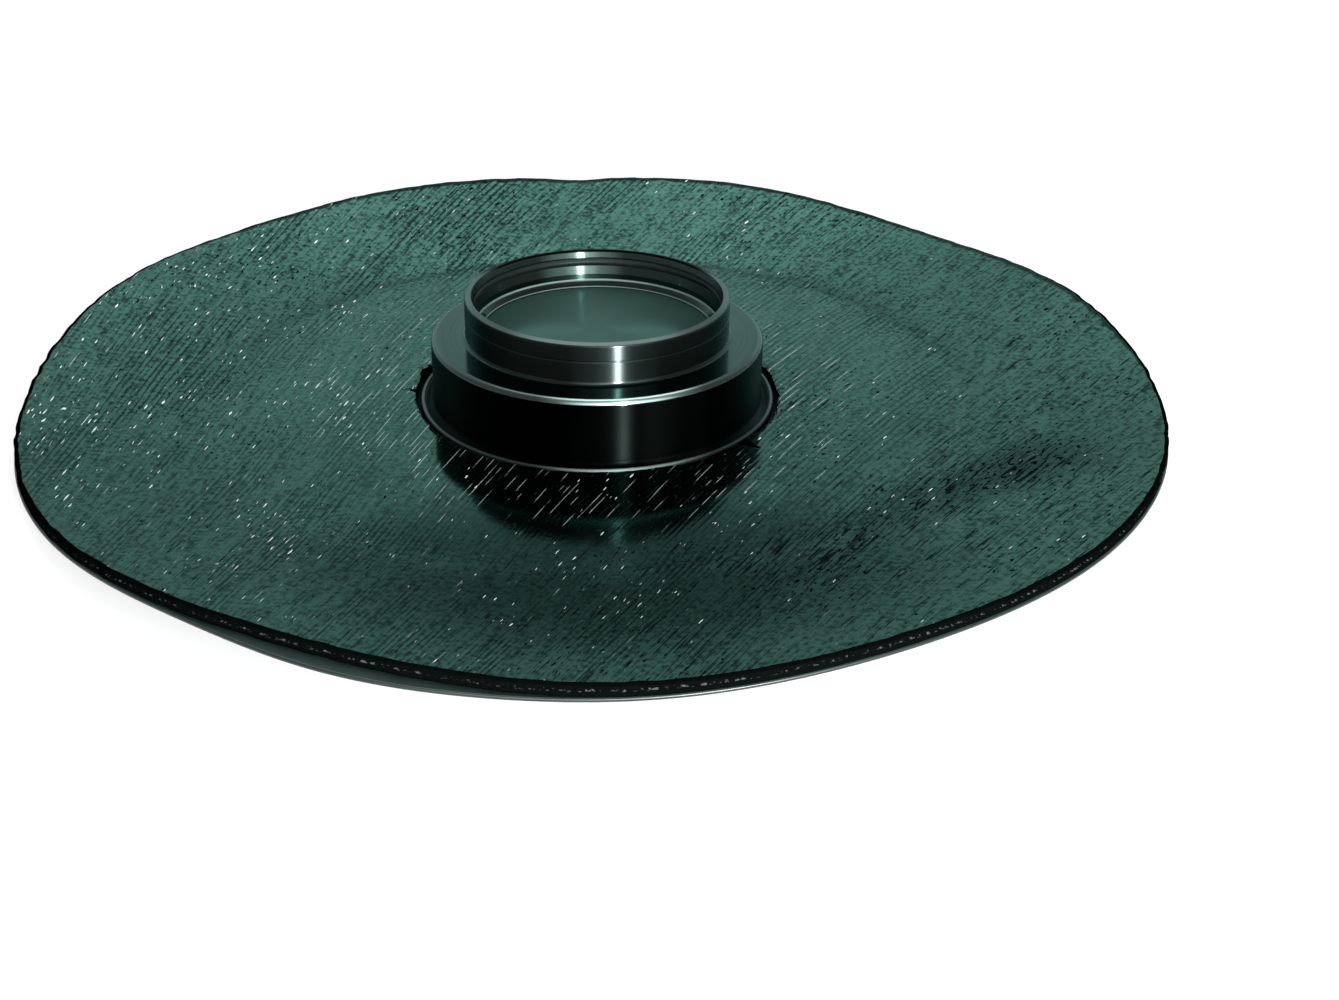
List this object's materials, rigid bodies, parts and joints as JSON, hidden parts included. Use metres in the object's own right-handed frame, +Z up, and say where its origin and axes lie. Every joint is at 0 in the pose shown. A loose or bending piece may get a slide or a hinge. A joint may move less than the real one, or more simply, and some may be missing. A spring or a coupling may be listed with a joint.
{
  "type": "roof pipe sleeve",
  "caption": "Stepped plastic roof pipe collar with a sealed socket ring, closed by a web until cut, its flange bonded between a round upturned bitumen sheet and a thin backing sheet.",
  "frame": {"origin": "on the socket's axis, at the underside of the backing sheet", "axes": "+Z up along the socket, out of its mouth; +X to the right and -Y towards the viewer of the picture"},
  "size_m": [0.506, 0.51, 0.0565],
  "materials": {
    "collar_plastic": "dark green-black moulded plastic, glossy, with fine turning marks",
    "seal_rubber": "black seal rubber",
    "bitumen": "dark green bitumen membrane, half glossy, with a streaky pitted skin",
    "backing_felt": "thin smooth greenish-grey backing membrane"
  },
  "bodies": {
    "root": {"collar": "collar_plastic", "seal_ring": "seal_rubber", "upper_sheet": "bitumen", "backing_sheet": "backing_felt"}
  },
  "joints": []
}
